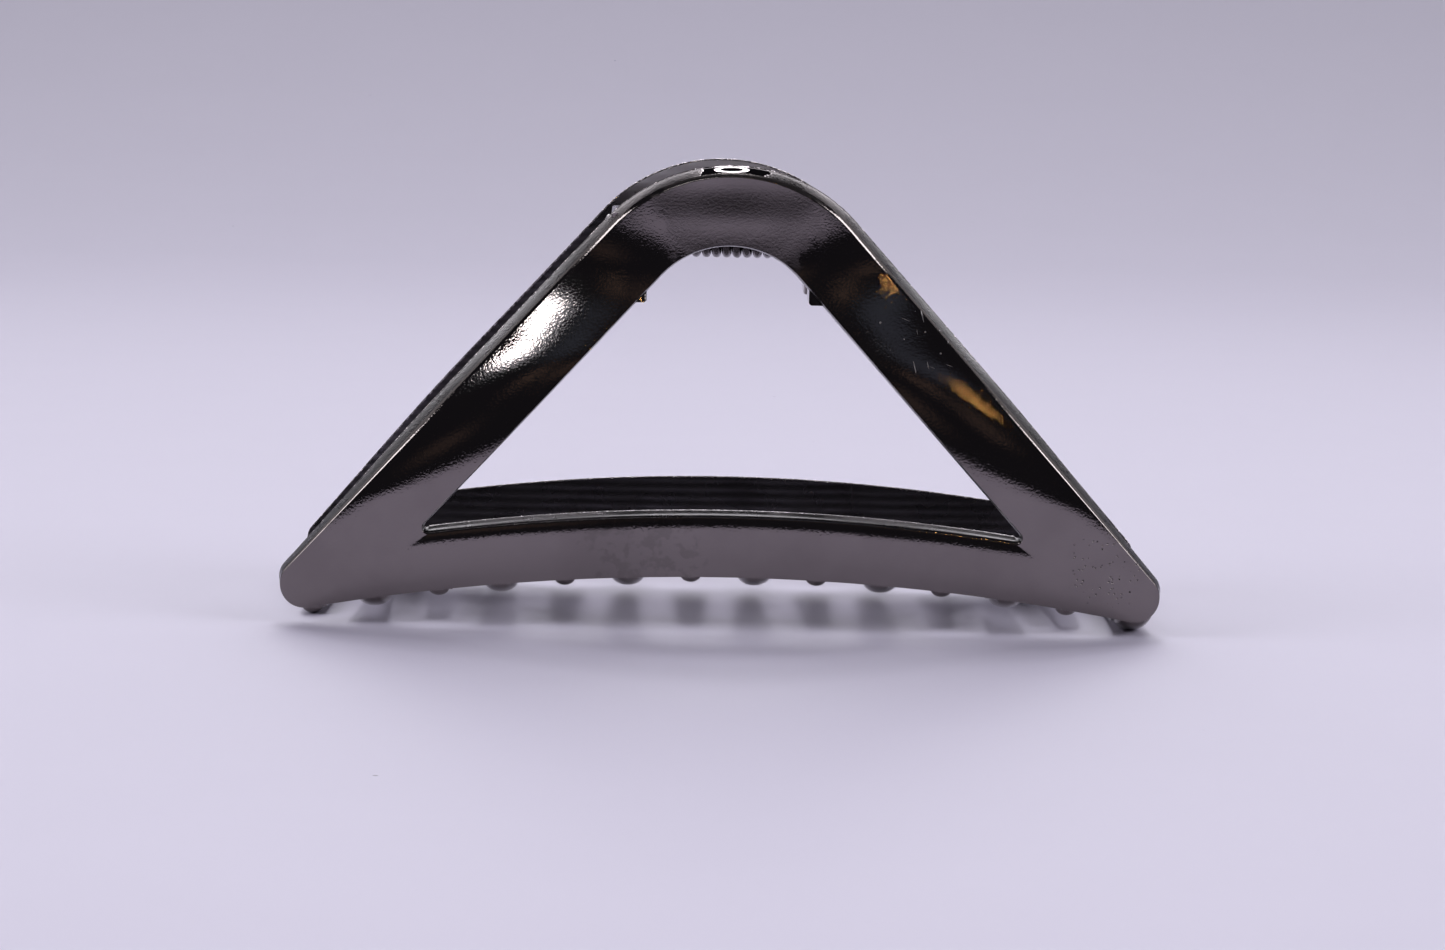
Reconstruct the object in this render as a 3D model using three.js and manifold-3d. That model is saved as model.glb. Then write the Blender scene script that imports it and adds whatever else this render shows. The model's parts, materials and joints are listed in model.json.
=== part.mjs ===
// Metal claw clip for hair: two identical cast jaws on a hinge pin, closed by a torsion spring.
// Millimetres, +Z up. X runs along the clip, the front jaw is on the -Y side, and the clip
// stands on the undersides of its outermost teeth at z = 0.

import * as THREE from 'three';
import { mergeVertices } from 'three/addons/utils/BufferGeometryUtils.js';
import Module from 'manifold-3d';

const wasm = await Module();
wasm.setup();

// Driving dimensions of a jaw plate, seen from the front.
const PLATE_THICKNESS = 2.0;
const PLATE_BEVEL = 0.3;
const FACE_CROWN = 0.25;
const LEG_SLOPE = THREE.MathUtils.degToRad(47.4);
const APEX_RADIUS = 16.1;
const APEX_CENTRE_Z = 29.05;
const END_RADIUS = 2.4;
const LOWER_EDGE_RADIUS = 225;
const WINDOW_APEX_RADIUS = 9.6;
const WINDOW_APEX_CENTRE_Z = 28.7;
const WINDOW_CORNER_RADIUS = 0.8;
const WINDOW_FLOOR_RADIUS = 205;
const WINDOW_FLOOR_Z = 11.3;

// The cast edges slope outwards from the face to the back, most along the top and the window's sill.
const TOP_EDGE_FLARE = 1.1;
const LOWER_EDGE_FLARE = 0.2;
const WINDOW_EDGE_FLARE = 0.1;
const SILL_FLARE = 0.65;

// Side view of a jaw: height, and distance of the outer face from the clip's middle plane.
const SIDE_PROFILE = [
  [0, 15.3],
  [4, 15.65],
  [8, 15.92],
  [11, 16.02],
  [14, 15.97],
  [18, 15.55],
  [22, 14.7],
  [26, 13.45],
  [30, 11.95],
  [33, 10.9],
  [35.5, 10.23],
  [37, 9.98],
  [38.2, 9.87],
  [39.4, 9.85],
  [40.5, 9.92],
  [42, 10.1],
  [43.5, 10.27],
  [48, 10.39],
];

// Teeth.
const TOOTH_COUNT = 7;
const TOOTH_PITCH = 12.8;
const TOOTH_OFFSET = 3.2;
const TOOTH_DROP = 1.5;
const TOOTH_ROOT_WIDTH = 3.7;
const TOOTH_TIP_WIDTH = 2.0;
const TOOTH_ROOT_HEIGHT = 2.6;
const TOOTH_ROOT_EMBED = 0.4;
const TOOTH_TIP_HEIGHT = 1.4;
const TOOTH_FLAT_WIDTH = 0.7;
const TOOTH_HEEL_Y = -10.5;
const TOOTH_RISE_Y = 3;
const TOOTH_TIP_Y = 9.6;
const TOOTH_TIP_RISE = 0.1;

// Hinge and spring.
const PIN_Z = 39.4;
const PIN_RADIUS = 0.8;
const PIN_CLEARANCE = 0.15;
const PIN_HEAD_RADIUS = 1.3;
const PIN_HEAD_LENGTH = 0.5;
const KNUCKLE_RADIUS = 2.2;
const KNUCKLE_WIDTH = 1.7;
const KNUCKLE_GAP = 0.3;
const INNER_LANE_X = 8.2;
const LUG_ROOT_BOTTOM_Z = 32.4;
const LUG_ROOT_TOP_Z = 41.3;
const LUG_ROOT_REACH = 2.9;
const LUG_ROOT_FOOT_Y = -5.2;
const WIRE_DIAMETER = 0.95;
const COIL_RADIUS = 2.5;
const COIL_PITCH = 1.05;
const WHOLE_TURNS = 13;
const SPRING_LEG_LENGTH = 8.3;
const SPRING_LEG_LEAN = THREE.MathUtils.degToRad(44);

// How finely curves are cut into straight steps.
const APEX_STEPS = 7;
const LEG_STEPS = 10;
const CORNER_STEPS = 6;
const FLOOR_STEPS = 8;
const TOOTH_STEPS = 8;
const ROUND_SIDES = 20;
const COIL_STEPS = 10;
const SPRING_LEG_STEPS = 2;
const WIRE_SIDES = 4;

const OUTERMOST_TOOTH_X = TOOTH_OFFSET + TOOTH_PITCH * (TOOTH_COUNT - 1) / 2;
const LOWER_EDGE_Z = TOOTH_DROP + sagitta(LOWER_EDGE_RADIUS, OUTERMOST_TOOTH_X);
// The spring legs lie half a turn apart and lean out from upright, each towards its own handle.
const SPRING_START_ANGLE = Math.PI + SPRING_LEG_LEAN;
const COIL_TURNS = WHOLE_TURNS - 0.5 - SPRING_LEG_LEAN / Math.PI;

function sagitta(radius, halfChord) {
  return radius - Math.sqrt(radius * radius - halfChord * halfChord);
}

// Distance of the outer face from the middle plane at a height: a smooth curve through
// the side profile's points, with the slope at each point taken from its neighbours.
function outerFace(z) {
  const last = SIDE_PROFILE.length - 2;
  const found = SIDE_PROFILE.findIndex((point) => point[0] > z) - 1;
  const i = found < 0 ? last : Math.min(found, last);
  const slope = (k) => {
    const before = SIDE_PROFILE[Math.max(k - 1, 0)];
    const after = SIDE_PROFILE[Math.min(k + 1, last + 1)];
    return (after[1] - before[1]) / (after[0] - before[0]);
  };
  const [z0, d0] = SIDE_PROFILE[i];
  const [z1, d1] = SIDE_PROFILE[i + 1];
  const span = z1 - z0;
  const t = (z - z0) / span;
  return d0 * (2 * t ** 3 - 3 * t ** 2 + 1)
    + slope(i) * span * (t ** 3 - 2 * t ** 2 + t)
    + d1 * (3 * t ** 2 - 2 * t ** 3)
    + slope(i + 1) * span * (t ** 3 - t ** 2);
}

// A point of the front jaw, straight behind its outer face at x and z. The depth is measured square
// to the face, so the plate keeps its thickness where it leans.
function platePoint(x, z, depth) {
  const step = 0.05;
  const lean = (outerFace(z + step) - outerFace(z - step)) / (2 * step);
  const length = Math.hypot(1, lean);
  return [x, depth * length - outerFace(z), z];
}

// Right half of a closed outline, clockwise from the top centre to the bottom centre: an apex arc,
// a straight leg, a rounded corner and an arched floor, each tangent to the next.
function halfOutline({ apexRadius, apexZ, cornerRadius, floorRadius, floorZ }) {
  const stations = [];
  const addArc = (centreX, centreZ, radius, start, end, steps, first) => {
    for (let i = first; i <= steps; i++) {
      const angle = start + (end - start) * i / steps;
      const nx = Math.sin(angle);
      const nz = Math.cos(angle);
      stations.push({ x: centreX + radius * nx, z: centreZ + radius * nz, nx, nz });
    }
  };
  const floorCentreZ = floorZ - floorRadius;
  const reach = floorRadius + cornerRadius;
  const inset = apexRadius - cornerRadius + Math.cos(LEG_SLOPE) * (apexZ - floorCentreZ);
  const floorAngle = LEG_SLOPE - Math.acos(inset / reach);
  const cornerX = reach * Math.sin(floorAngle);
  const cornerZ = floorCentreZ + reach * Math.cos(floorAngle);
  addArc(0, apexZ, apexRadius, 0, LEG_SLOPE, APEX_STEPS, 0);
  const legTop = stations[stations.length - 1];
  const legEndX = cornerX + cornerRadius * Math.sin(LEG_SLOPE);
  const legEndZ = cornerZ + cornerRadius * Math.cos(LEG_SLOPE);
  for (let i = 1; i < LEG_STEPS; i++) {
    const t = i / LEG_STEPS;
    const x = THREE.MathUtils.lerp(legTop.x, legEndX, t);
    const z = THREE.MathUtils.lerp(legTop.z, legEndZ, t);
    stations.push({ x, z, nx: legTop.nx, nz: legTop.nz });
  }
  addArc(cornerX, cornerZ, cornerRadius, LEG_SLOPE, Math.PI + floorAngle, CORNER_STEPS, 0);
  // The floor bows upwards, so its outward normal points at the arc's centre far below.
  for (let i = 1; i <= FLOOR_STEPS; i++) {
    const angle = floorAngle * (1 - i / FLOOR_STEPS);
    const nx = -Math.sin(angle);
    const nz = -Math.cos(angle);
    stations.push({ x: -floorRadius * nx, z: floorCentreZ - floorRadius * nz, nx, nz });
  }
  return stations;
}

// The whole outline: the right half, then its mirror image back up the left side.
function fullOutline(dimensions) {
  const right = halfOutline(dimensions);
  const left = right.slice(1, -1).reverse().map(({ x, z, nx, nz }) => ({ x: -x, z, nx: -nx, nz }));
  return [...right, ...left];
}

// Closed body made of rings of points, each ring joined to the next. With closed set the last ring
// joins the first; otherwise both end rings are capped by a fan about their middles.
function bodyFromRings(rings, closed) {
  const size = rings[0].length;
  const positions = rings.flat(2);
  const indices = [];
  const count = closed ? rings.length : rings.length - 1;
  for (let i = 0; i < count; i++) {
    const a = i * size;
    const b = ((i + 1) % rings.length) * size;
    for (let j = 0; j < size; j++) {
      const k = (j + 1) % size;
      indices.push(a + j, b + j, b + k, a + j, b + k, a + k);
    }
  }
  const addCap = (ring, start, flip) => {
    const middle = [0, 1, 2].map((axis) => ring.reduce((sum, point) => sum + point[axis], 0) / size);
    const hub = positions.length / 3;
    positions.push(...middle);
    for (let j = 0; j < size; j++) {
      const pair = [start + j, start + (j + 1) % size];
      indices.push(hub, ...(flip ? pair.reverse() : pair));
    }
  };
  if (!closed) {
    addCap(rings[0], 0, false);
    addCap(rings[rings.length - 1], (rings.length - 1) * size, true);
  }
  const geometry = new THREE.BufferGeometry();
  geometry.setAttribute('position', new THREE.Float32BufferAttribute(positions, 3));
  geometry.setIndex(indices);
  return geometry;
}

function toSolid(geometry) {
  const bare = geometry.clone();
  bare.deleteAttribute('normal');
  bare.deleteAttribute('uv');
  const merged = mergeVertices(bare, 1e-5);
  const solid = new wasm.Manifold(new wasm.Mesh({
    numProp: 3,
    vertProperties: new Float32Array(merged.attributes.position.array),
    triVerts: new Uint32Array(merged.index.array),
  }));
  if (solid.volume() < 0) throw new Error('a body is inside out');
  return solid;
}

function toGeometry(solid) {
  const mesh = solid.getMesh();
  const geometry = new THREE.BufferGeometry();
  geometry.setAttribute('position', new THREE.BufferAttribute(mesh.vertProperties, 3));
  geometry.setIndex(new THREE.BufferAttribute(mesh.triVerts, 1));
  geometry.computeVertexNormals();
  return geometry;
}

// Open triangular plate with sloping edges and a slightly crowned outer face.
function jawPlate() {
  const outer = fullOutline({
    apexRadius: APEX_RADIUS,
    apexZ: APEX_CENTRE_Z,
    cornerRadius: END_RADIUS,
    floorRadius: LOWER_EDGE_RADIUS,
    floorZ: LOWER_EDGE_Z,
  });
  const window = fullOutline({
    apexRadius: WINDOW_APEX_RADIUS,
    apexZ: WINDOW_APEX_CENTRE_Z,
    cornerRadius: WINDOW_CORNER_RADIUS,
    floorRadius: WINDOW_FLOOR_RADIUS,
    floorZ: WINDOW_FLOOR_Z,
  });
  const edge = (station, offset, depth) =>
    platePoint(station.x + station.nx * offset, station.z + station.nz * offset, depth);
  // Normals point up along the top edge and down along the floors of both outlines.
  const rings = outer.map((rim, i) => {
    const hole = window[i];
    const rise = THREE.MathUtils.smoothstep(rim.nz, -0.3, 0.6);
    const rimFlare = THREE.MathUtils.lerp(LOWER_EDGE_FLARE, TOP_EDGE_FLARE, rise);
    const sill = THREE.MathUtils.smoothstep(-hole.nz, 0.3, 1);
    const holeFlare = THREE.MathUtils.lerp(WINDOW_EDGE_FLARE, SILL_FLARE, sill);
    return [
      edge(rim, 0, 0),
      edge(rim, rimFlare - PLATE_BEVEL / 2, PLATE_THICKNESS - 2 * PLATE_BEVEL),
      edge(rim, rimFlare, PLATE_THICKNESS - PLATE_BEVEL),
      edge(rim, rimFlare - PLATE_BEVEL, PLATE_THICKNESS),
      edge(hole, PLATE_BEVEL - holeFlare, PLATE_THICKNESS),
      edge(hole, -holeFlare, PLATE_THICKNESS - PLATE_BEVEL),
      edge(hole, -holeFlare / 2, PLATE_THICKNESS / 2),
      edge(hole, 0, 0),
      platePoint((rim.x + hole.x) / 2, (rim.z + hole.z) / 2, -FACE_CROWN),
    ];
  });
  return bodyFromRings(rings, true);
}

// One tooth: it leaves the bar's back, drops below the lower edge, runs flat under the clip and
// turns up a little at its tip. Its underside is half round with a narrow flat to stand on.
function tooth(x) {
  const edgeZ = LOWER_EDGE_Z - sagitta(LOWER_EDGE_RADIUS, Math.abs(x));
  const rootY = PLATE_THICKNESS / 2 - outerFace(edgeZ + 1);
  const length = TOOTH_TIP_Y - rootY;
  const rings = [];
  for (let i = 0; i <= TOOTH_STEPS; i++) {
    const t = i / TOOTH_STEPS;
    const y = rootY + length * t;
    const heel = THREE.MathUtils.clamp((y - rootY) / (TOOTH_HEEL_Y - rootY), 0, 1);
    const rise = Math.max(0, (y - TOOTH_RISE_Y) / (TOOTH_TIP_Y - TOOTH_RISE_Y));
    const drop = TOOTH_DROP * Math.sqrt(1 - (1 - heel) ** 2);
    const bottom = edgeZ + TOOTH_ROOT_EMBED * (1 - heel) - drop + TOOTH_TIP_RISE * rise ** 2;
    const height = THREE.MathUtils.lerp(TOOTH_ROOT_HEIGHT, TOOTH_TIP_HEIGHT, Math.sqrt(t));
    const half = THREE.MathUtils.lerp(TOOTH_ROOT_WIDTH, TOOTH_TIP_WIDTH, t) / 2;
    rings.push(toothSection(x, y, bottom, height, half));
  }
  return bodyFromRings(rings, false);
}

// Cross-section of a tooth, with a flat along the bottom, round flanks and bevelled top corners.
function toothSection(x, y, bottom, height, half) {
  const flat = TOOTH_FLAT_WIDTH / 2;
  const flank = [
    [flat, 0],
    [half * 0.8, height * 0.2],
    [half, height * 0.5],
    [half * 0.9, height * 0.85],
    [half * 0.6, height],
  ];
  const left = flank.slice().reverse().map(([dx, dz]) => [-dx, dz]);
  return [...flank, ...left].map(([dx, dz]) => [x + dx, y, bottom + dz]);
}

// Cylinder along X between two planes.
function roller(radius, fromX, toX) {
  const geometry = new THREE.CylinderGeometry(radius, radius, toX - fromX, ROUND_SIDES);
  geometry.rotateZ(Math.PI / 2);
  geometry.translate((fromX + toX) / 2, 0, PIN_Z);
  return geometry;
}

// Block between two X planes, two Y planes and two Z planes.
function block(fromX, toX, fromY, toY, fromZ, toZ) {
  const geometry = new THREE.BoxGeometry(toX - fromX, toY - fromY, toZ - fromZ);
  geometry.translate((fromX + toX) / 2, (fromY + toY) / 2, (fromZ + toZ) / 2);
  return geometry;
}

// Root of a hinge lug, grown from the back of a leg: its side view follows the plate.
function lugRoot(fromX, toX) {
  const rings = [];
  const levels = 4;
  for (let i = 0; i <= levels; i++) {
    const z = THREE.MathUtils.lerp(LUG_ROOT_BOTTOM_Z, LUG_ROOT_TOP_Z, i / levels);
    const back = PLATE_THICKNESS / 2 - outerFace(z);
    const end = i === 0 ? LUG_ROOT_FOOT_Y : -LUG_ROOT_REACH;
    rings.push([[fromX, back, z], [fromX, end, z], [toX, end, z], [toX, back, z]]);
  }
  return bodyFromRings(rings, false);
}

// Both hinge lugs of a jaw. Each root spans two lanes, and its knuckle fills one of them: the
// inner lane on the right and the outer lane on the left, so that two jaws interleave.
function addLugs(plate) {
  const outerLaneX = INNER_LANE_X + KNUCKLE_WIDTH + KNUCKLE_GAP;
  const lanes = [
    { root: [INNER_LANE_X, outerLaneX + KNUCKLE_WIDTH], lane: INNER_LANE_X },
    { root: [-outerLaneX - KNUCKLE_WIDTH, -INNER_LANE_X], lane: -outerLaneX - KNUCKLE_WIDTH },
  ];
  return lanes.reduce((solid, { root, lane }) => {
    const laneEnd = lane + KNUCKLE_WIDTH;
    const webHalf = KNUCKLE_RADIUS * 0.8;
    const web = block(lane, laneEnd, -LUG_ROOT_REACH - 1, 0, PIN_Z - webHalf, PIN_Z + webHalf);
    return solid
      .add(toSolid(lugRoot(...root)))
      .add(toSolid(roller(KNUCKLE_RADIUS, lane, laneEnd)))
      .add(toSolid(web))
      .subtract(toSolid(roller(PIN_RADIUS + PIN_CLEARANCE, lane - 1, laneEnd + 1)));
  }, plate);
}

function jawGeometry() {
  let solid = toSolid(jawPlate());
  for (let k = 0; k < TOOTH_COUNT; k++) {
    const x = TOOTH_OFFSET + TOOTH_PITCH * (k - (TOOTH_COUNT - 1) / 2);
    solid = solid.add(toSolid(tooth(x)));
  }
  return toGeometry(addLugs(solid));
}

// Plain pin with a peened head at each end.
function pinGeometry() {
  const headX = INNER_LANE_X + 2 * KNUCKLE_WIDTH + 2 * KNUCKLE_GAP;
  const endX = headX + PIN_HEAD_LENGTH;
  const profile = [
    [0, -endX],
    [PIN_HEAD_RADIUS * 0.7, -endX],
    [PIN_HEAD_RADIUS, -endX + PIN_HEAD_LENGTH / 2],
    [PIN_HEAD_RADIUS, -headX],
    [PIN_RADIUS, -headX],
    [PIN_RADIUS, headX],
    [PIN_HEAD_RADIUS, headX],
    [PIN_HEAD_RADIUS, endX - PIN_HEAD_LENGTH / 2],
    [PIN_HEAD_RADIUS * 0.7, endX],
    [0, endX],
  ];
  const geometry = new THREE.LatheGeometry(profile.map(([r, x]) => new THREE.Vector2(r, x)), ROUND_SIDES);
  geometry.rotateZ(-Math.PI / 2);
  return geometry;
}

// Centre line of the spring wire: close coils about the pin, and a straight leg from each end
// that leaves the coil along its tangent and lies behind one handle.
class SpringPath extends THREE.Curve {
  constructor() {
    super();
    this.coilLength = COIL_TURNS * 2 * Math.PI * COIL_RADIUS;
    this.length = this.coilLength + 2 * SPRING_LEG_LENGTH;
  }

  coilPoint(turn) {
    const angle = SPRING_START_ANGLE + turn * 2 * Math.PI;
    const x = (turn - COIL_TURNS / 2) * COIL_PITCH;
    return new THREE.Vector3(x, COIL_RADIUS * Math.cos(angle), COIL_RADIUS * Math.sin(angle));
  }

  getPoint(t, target = new THREE.Vector3()) {
    const s = t * this.length - SPRING_LEG_LENGTH;
    const turn = THREE.MathUtils.clamp(s / this.coilLength, 0, 1) * COIL_TURNS;
    const beyond = s - turn / COIL_TURNS * this.coilLength;
    const angle = SPRING_START_ANGLE + turn * 2 * Math.PI;
    const tangent = new THREE.Vector3(0, -Math.sin(angle), Math.cos(angle));
    return target.copy(this.coilPoint(turn)).addScaledVector(tangent, beyond);
  }
}

function springGeometry() {
  const section = new THREE.Shape();
  section.absarc(0, 0, WIRE_DIAMETER / 2, 0, 2 * Math.PI);
  const steps = Math.round(COIL_TURNS * COIL_STEPS) + 2 * SPRING_LEG_STEPS;
  return new THREE.ExtrudeGeometry(section, {
    steps,
    curveSegments: WIRE_SIDES,
    extrudePath: new SpringPath(),
    bevelEnabled: false,
  });
}

function metal(color, roughness) {
  return new THREE.MeshStandardMaterial({ color, roughness, metalness: 1 });
}

function piece(name, geometry, material) {
  const mesh = new THREE.Mesh(geometry, material);
  mesh.name = name;
  return mesh;
}

const clip = new THREE.Group();

const frontJaw = piece('front_jaw', jawGeometry(), metal(0x6a6468, 0.12));
clip.add(frontJaw);

const rearJaw = piece('rear_jaw', jawGeometry(), metal(0x6a6468, 0.12));
rearJaw.rotation.z = Math.PI;
clip.add(rearJaw);

const pin = piece('hinge_pin', pinGeometry(), metal(0x8c8890, 0.3));
pin.position.z = PIN_Z;
clip.add(pin);

const spring = piece('torsion_spring', springGeometry(), metal(0x55525a, 0.3));
spring.position.z = PIN_Z;
clip.add(spring);

export default clip;
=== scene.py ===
"""A metal claw clip for hair, closed, standing on its teeth on a pale sweep.

Two identical jaws, cast and plated in mirror-bright black nickel, turn on a hinge pin and are
held shut by a torsion spring. Lengths below are in millimetres and become metres at the mesh.
"""
import json
import math

import bmesh
import bpy
from mathutils import Matrix, Vector


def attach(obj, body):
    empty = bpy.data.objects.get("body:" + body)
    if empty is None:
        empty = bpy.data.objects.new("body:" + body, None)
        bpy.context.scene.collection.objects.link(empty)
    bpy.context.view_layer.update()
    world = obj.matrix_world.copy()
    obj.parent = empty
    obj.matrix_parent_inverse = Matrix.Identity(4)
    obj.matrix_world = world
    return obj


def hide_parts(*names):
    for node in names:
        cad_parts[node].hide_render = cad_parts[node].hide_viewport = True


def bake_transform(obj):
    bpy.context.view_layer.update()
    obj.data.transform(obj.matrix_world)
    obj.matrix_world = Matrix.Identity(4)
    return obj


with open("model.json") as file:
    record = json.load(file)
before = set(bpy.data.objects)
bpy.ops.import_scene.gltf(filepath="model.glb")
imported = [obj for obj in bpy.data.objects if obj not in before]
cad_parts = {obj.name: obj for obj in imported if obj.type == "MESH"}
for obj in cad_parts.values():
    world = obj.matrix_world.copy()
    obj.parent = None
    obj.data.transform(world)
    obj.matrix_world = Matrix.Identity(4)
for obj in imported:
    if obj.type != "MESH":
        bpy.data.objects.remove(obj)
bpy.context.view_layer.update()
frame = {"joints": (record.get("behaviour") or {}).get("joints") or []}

MM = 0.001

# ---------------------------------------------------------------- driving dimensions, in mm
# The jaw plate seen from the front.
PLATE_THICKNESS = 2.0
LEG_SLOPE = math.radians(47.4)
APEX_RADIUS = 16.1
APEX_CENTRE_Z = 29.05
END_RADIUS = 2.4
LOWER_EDGE_RADIUS = 225.0
WINDOW_APEX_RADIUS = 9.6
WINDOW_APEX_CENTRE_Z = 28.7
WINDOW_CORNER_RADIUS = 0.7
WINDOW_FLOOR_RADIUS = 205.0
WINDOW_FLOOR_Z = 11.3

# The castings are not quite true: their tops lean sideways by this much per unit of height.
SIDEWAYS_LEAN = 0.014
LEAN_LEVEL_Z = 20.0

# How far the cast edges slope outwards between the face and the back. Round the rim this grows
# from the ends up to a height on the legs, and it is small along the lower edge.
TOP_EDGE_FLARE = 1.15
TOP_EDGE_Z = 24.0
END_EDGE_FLARE = 0.4
LOWER_EDGE_FLARE = 0.15
WINDOW_EDGE_FLARE = 0.22
SILL_FLARE = 0.7

# A cast edge in section, as (share of the flare, depth below the face), for a plate 2 mm thick.
# An ordinary edge is a sloping, slightly rounded wall. The sill carries two raised beads.
WALL_THICKNESS = 2.0
PLAIN_WALL = (
    (0.06, 0.03), (0.15, 0.12), (0.24, 0.23), (0.37, 0.46), (0.49, 0.69), (0.60, 0.92),
    (0.70, 1.15), (0.80, 1.38), (0.88, 1.61), (0.95, 1.83), (1.00, 1.90), (0.97, 1.97), (0.85, 2.00),
)
BEADED_WALL = (
    (0.18, 0.04), (0.36, 0.12), (0.48, 0.26), (0.50, 0.42), (0.47, 0.62), (0.48, 0.76),
    (0.52, 0.95), (0.64, 1.20), (0.86, 1.42), (0.96, 1.60), (0.99, 1.75), (0.96, 1.90), (0.80, 2.00),
)

# The outer face is crowned across the band, by this much where the band is this wide or wider.
# The bar, up to its top, and the apex are flatter and have these shares of the crown.
CROWN_HEIGHT = 0.28
CROWN_WIDTH = 8.5
BAR_CROWN_SHARE = 0.35
BAR_TOP_Z = 9.0
LEG_BOTTOM_Z = 16.0
APEX_CROWN_SHARE = 0.15

# The top of the apex leans back a little between two heights, most at its middle.
APEX_FOLD = 0.38
APEX_FOLD_BOTTOM_Z = 40.4
APEX_FOLD_TOP_Z = 44.6
APEX_FOLD_REACH_X = 8.5

# The face rolls over at the sill, within this share of the bar's height.
SILL_ROLL = 0.1
SILL_ROLL_SHARE = 0.2

# Side view of a jaw: height, and distance of the outer face from the clip's middle plane.
SIDE_PROFILE = (
    (0.0, 15.6), (4.0, 15.8), (8.0, 15.95), (11.0, 16.02), (14.0, 15.97), (18.0, 15.55),
    (22.0, 14.72), (26.0, 13.56), (30.0, 12.0), (33.0, 10.9), (35.5, 10.22), (37.0, 9.97),
    (38.2, 9.87), (39.4, 9.85), (40.5, 9.90), (42.0, 10.02), (43.5, 10.17), (48.0, 10.7),
)

# Teeth.
TOOTH_COUNT = 7
TOOTH_PITCH = 12.8
TOOTH_OFFSET = 3.2
TOOTH_DROP = 1.5
TOOTH_ROOT_WIDTH = 3.7
TOOTH_TIP_WIDTH = 2.1
TOOTH_ROOT_HEIGHT = 2.6
TOOTH_TIP_HEIGHT = 1.4
TOOTH_ROOT_EMBED = 0.4
TOOTH_HEEL_Y = -10.5
TOOTH_RISE_Y = 3.0
TOOTH_TIP_Y = 10.4
TOOTH_TIP_RISE = 0.1
TOOTH_MIDDLE_SHARE = 0.55
TOOTH_SQUARENESS = 0.62
TOOTH_FILLET = 0.9
TOOTH_FILLET_FADE = 0.7
TOOTH_FILLET_SPREAD = 0.25
TIP_DOME_SHARE = 0.45
TIP_SMALLEST_SIZE = 0.12

# The step left along a tooth by the mould's parting line.
FLASH_WIDTH = 0.3
FLASH_HEIGHT = 0.5
FLASH_LEVEL_SHARE = 0.42
FLASH_BURIED_SHARE = 0.5
FLASH_END_STATIONS = 5

# Hinge and spring.
PIN_RADIUS = 0.8
PIN_CLEARANCE = 0.15
PIN_HEAD_RADIUS = 1.3
PIN_HEAD_LENGTH = 0.5
PIN_HEAD_ROOT_SHARE = 0.94
PIN_HEAD_TIP_SHARE = 0.08
KNUCKLE_RADIUS = 2.2
KNUCKLE_WIDTH = 1.7
KNUCKLE_GAP = 0.3
KNUCKLE_TOP_ANGLE = math.radians(105)
KNUCKLE_FOOT_ANGLE = math.radians(-125)
KNUCKLE_SHIN_RISE = 2.6
INNER_LANE_X = 8.2
LUG_ROOT_BOTTOM_Z = 32.4
LUG_ROOT_TOP_Z = 41.3
LUG_ROOT_REACH = 2.9
LUG_ROOT_FOOT_Y = -5.2
LUG_SHIN_RISE = 2.0
LUG_BEVEL = 0.25
BORE_OVERCUT = 1.0
WIRE_RADIUS = 0.475
COIL_RADIUS = 2.5
COIL_PITCH = 1.05
WHOLE_TURNS = 13
SPRING_LEG_LENGTH = 8.0
SPRING_LEG_LEAN = math.radians(44.0)
WIRE_END_SHARE = 0.8

# How finely curves are cut.
APEX_STEPS = 40
LEG_STEPS = 80
CORNER_STEPS = 28
FLOOR_STEPS = 90
FACE_STEPS = 22
BACK_STEPS = 8
TOOTH_STEPS = 30
TOOTH_SIDES = 28
TOOTH_BUNCHING = 1.25
ROUND_SIDES = 48
LUG_STEPS = 6
KNUCKLE_STEPS = 16
BEVEL_CUTS = 3
PIN_HEAD_STEPS = 8
WIRE_SIDES = 14
WIRE_LEG_STEPS = 8
WIRE_TURN_STEPS = 36
SWEEP_STEPS = 16

# Shading turns into a crease where two faces meet at more than this, in degrees.
CASTING_CREASE = 32
ROUND_CREASE = 40

# Places of the casting's finishes among its materials. Down a wall, the first sides belong to
# the polished bevel and the last ones to the burr.
FACE_FINISH, EDGE_FINISH, BURR_FINISH, BACK_FINISH = range(4)
BURR_SIDES = 3
BEVEL_SIDES = 3

HINGE = next(joint for joint in frame["joints"] if joint["name"] == "jaw_hinge")
PIN_Z = HINGE["pos_m"][2] / MM
OUTERMOST_TOOTH_X = TOOTH_OFFSET + TOOTH_PITCH * (TOOTH_COUNT - 1) / 2


def lerp(a, b, t):
    return a + (b - a) * t


def smoothstep(low, high, value):
    t = min(max((value - low) / (high - low), 0.0), 1.0)
    return t * t * (3 - 2 * t)


def sagitta(radius, half_chord):
    return radius - math.sqrt(radius * radius - half_chord * half_chord)


LOWER_EDGE_Z = TOOTH_DROP + sagitta(LOWER_EDGE_RADIUS, OUTERMOST_TOOTH_X)


# ---------------------------------------------------------------- the jaw plate
def profile_slope(k):
    before = SIDE_PROFILE[max(k - 1, 0)]
    after = SIDE_PROFILE[min(k + 1, len(SIDE_PROFILE) - 1)]
    return (after[1] - before[1]) / (after[0] - before[0])


def outer_face(z):
    """Distance of the outer face from the middle plane: a smooth curve through the side profile."""
    last = len(SIDE_PROFILE) - 2
    i = 0
    while i < last and SIDE_PROFILE[i + 1][0] <= z:
        i += 1
    z0, d0 = SIDE_PROFILE[i]
    z1, d1 = SIDE_PROFILE[i + 1]
    span = z1 - z0
    t = (z - z0) / span
    ends = d0 * (2 * t**3 - 3 * t**2 + 1) + d1 * (3 * t**2 - 2 * t**3)
    slopes = profile_slope(i) * (t**3 - 2 * t**2 + t) + profile_slope(i + 1) * (t**3 - t**2)
    return ends + slopes * span


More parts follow.
